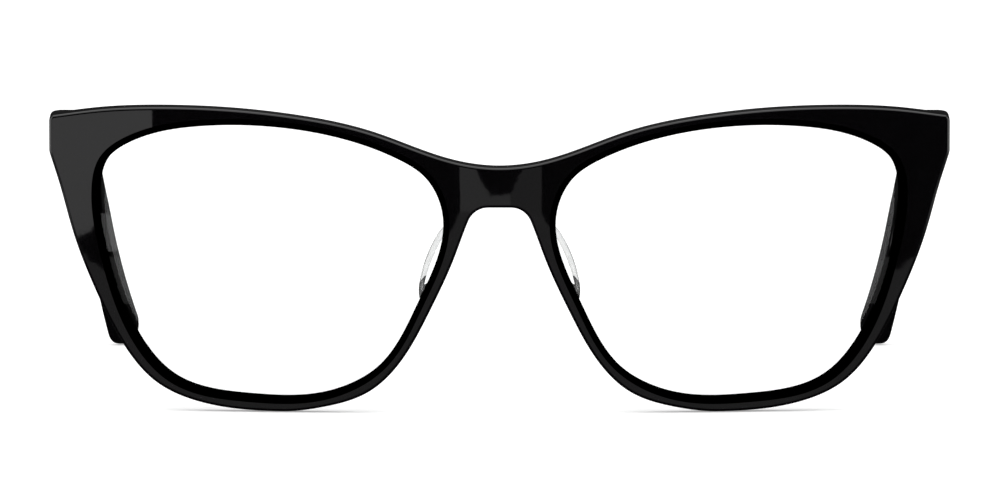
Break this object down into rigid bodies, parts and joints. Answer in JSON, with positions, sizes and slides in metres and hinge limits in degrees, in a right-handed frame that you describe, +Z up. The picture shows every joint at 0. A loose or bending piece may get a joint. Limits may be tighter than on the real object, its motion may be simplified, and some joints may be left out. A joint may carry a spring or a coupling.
{
  "type": "eyeglasses",
  "caption": "Cat-eye acetate eyeglasses with clear lenses, clear nose pads and temples that fold on metal hinges.",
  "frame": {"origin": "under the middle of the whole object's box, on the surface that the rims and temple tips stand on", "axes": "+X to the viewer's right, across the front; +Y back along the temples; +Z up"},
  "size_m": [0.14, 0.1452, 0.0476],
  "materials": {
    "black_acetate": "polished black acetate",
    "clear_lens": "clear, polished",
    "clear_acetate": "clear polished acetate",
    "core_steel": "drawn wire",
    "hinge_metal": "nickel-plated, satin",
    "screw_steel": "turned stainless steel"
  },
  "bodies": {
    "front": {"front_frame": "black_acetate", "lens_left": "clear_lens", "nose_pad_left": "clear_acetate", "front_hinge_left": "hinge_metal", "hinge_screw_left": "screw_steel", "lens_right": "clear_lens", "nose_pad_right": "clear_acetate", "front_hinge_right": "hinge_metal", "hinge_screw_right": "screw_steel"},
    "left_arm": {"temple_left": "black_acetate", "temple_core_left": "core_steel", "temple_hinge_left": "hinge_metal"},
    "right_arm": {"temple_right": "black_acetate", "temple_core_right": "core_steel", "temple_hinge_right": "hinge_metal"}
  },
  "joints": [
    {"name": "left_temple_fold", "type": "hinge", "parent": "front", "child": "left_arm", "pos_m": [-0.064, -0.05776, 0.04146], "axis": [0, 0, -1], "range_deg": [0, 89]},
    {"name": "right_temple_fold", "type": "hinge", "parent": "front", "child": "right_arm", "pos_m": [0.064, -0.05776, 0.04146], "axis": [0, 0, 1], "range_deg": [0, 78]}
  ]
}
